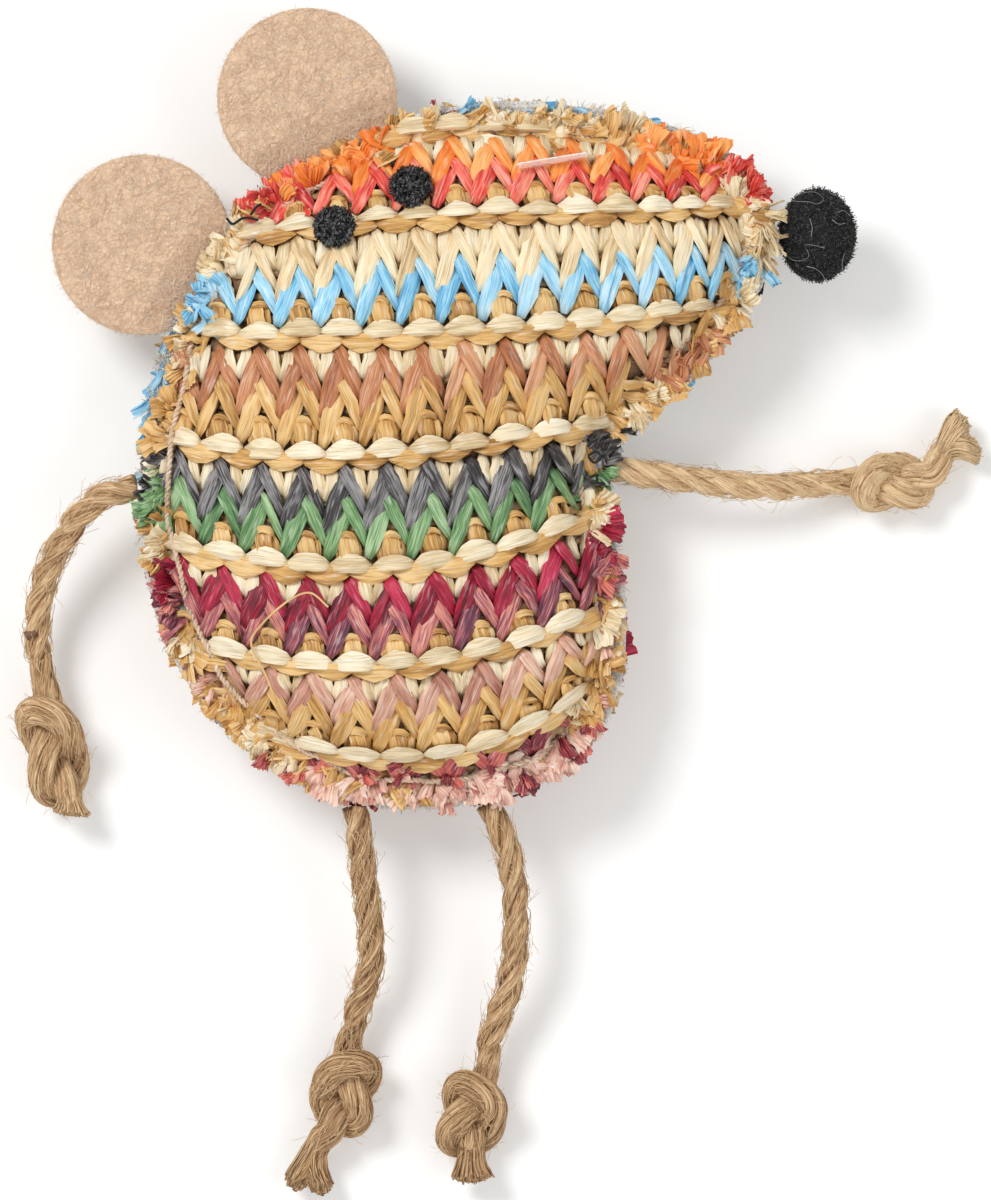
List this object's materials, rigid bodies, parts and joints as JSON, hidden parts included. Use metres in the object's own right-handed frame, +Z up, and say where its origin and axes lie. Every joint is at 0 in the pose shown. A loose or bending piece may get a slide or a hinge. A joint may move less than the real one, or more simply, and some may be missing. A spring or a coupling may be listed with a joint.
{
  "type": "catnip mouse",
  "caption": "Soft stuffed cat toy shaped like a mouse, lying on its back panel, with felt ears, a pompom nose and knotted rope limbs.",
  "frame": {"origin": "centre of the flat place on the back panel that the toy lies on", "axes": "+X towards the snout, +Y towards the top of the head, +Z up from the back panel to the front panel"},
  "size_m": [0.1503, 0.1765, 0.032],
  "materials": {
    "raffia": "striped bands of glossy raffia stitches",
    "gauze": "thin white open weave",
    "filling": "white fibre",
    "muslin": "plain weave, matt",
    "seam_thread": "twisted beige thread",
    "felt": "matt needle felt",
    "black_thread": "worked thread, slight sheen",
    "black_yarn": "fuzzy cut yarn",
    "clear_plastic": "clear, glossy",
    "jute": "hairy twisted rope, matt"
  },
  "bodies": {
    "torso": {"front_panel": "raffia", "back_panel": "raffia", "front_lining": "gauze", "back_lining": "gauze", "stuffing": "filling", "catnip_pouch": "muslin", "front_seam_thread": "seam_thread", "back_seam_thread": "seam_thread", "left_ear_tab": "felt", "right_ear_tab": "felt", "left_eye": "black_thread", "right_eye": "black_thread", "nose_pompom": "black_yarn", "nose_stitch": "black_thread", "tag_pin": "clear_plastic", "left_arm_root": "jute", "right_arm_root": "jute", "left_leg_root": "jute", "right_leg_root": "jute"},
    "left_arm": {"left_arm_rope": "jute", "left_arm_knot": "jute"},
    "right_arm": {"right_arm_rope": "jute", "right_arm_knot": "jute"},
    "left_leg": {"left_leg_rope": "jute", "left_leg_knot": "jute"},
    "right_leg": {"right_leg_rope": "jute", "right_leg_knot": "jute"},
    "left_ear_flap": {"left_ear": "felt"},
    "right_ear_flap": {"right_ear": "felt"}
  },
  "joints": [
    {"name": "left_arm_swing", "type": "hinge", "parent": "torso", "child": "left_arm", "pos_m": [-0.03965, -0.00591, 0.014], "axis": [0, 0, 1], "range_deg": [-50, 15]},
    {"name": "right_arm_swing", "type": "hinge", "parent": "torso", "child": "right_arm", "pos_m": [0.03466, -0.00299, 0.014], "axis": [0, 0, 1], "range_deg": [-50, 25]},
    {"name": "left_leg_swing", "type": "hinge", "parent": "torso", "child": "left_leg", "pos_m": [-0.00494, -0.05527, 0.014], "axis": [0, 0, 1], "range_deg": [-45, 5]},
    {"name": "right_leg_swing", "type": "hinge", "parent": "torso", "child": "right_leg", "pos_m": [0.01551, -0.05469, 0.014], "axis": [0, 0, 1], "range_deg": [-5, 45]},
    {"name": "left_ear_fold", "type": "hinge", "parent": "torso", "child": "left_ear_flap", "pos_m": [-0.0316, 0.02786, 0.014], "axis": [-0.4643, -0.8857, 0], "range_deg": [-75, 40], "stiffness_Nm_per_rad": 0.002},
    {"name": "right_ear_fold", "type": "hinge", "parent": "torso", "child": "right_ear_flap", "pos_m": [-0.01016, 0.04797, 0.014], "axis": [-0.9035, -0.4285, 0], "range_deg": [-75, 40], "stiffness_Nm_per_rad": 0.002}
  ]
}
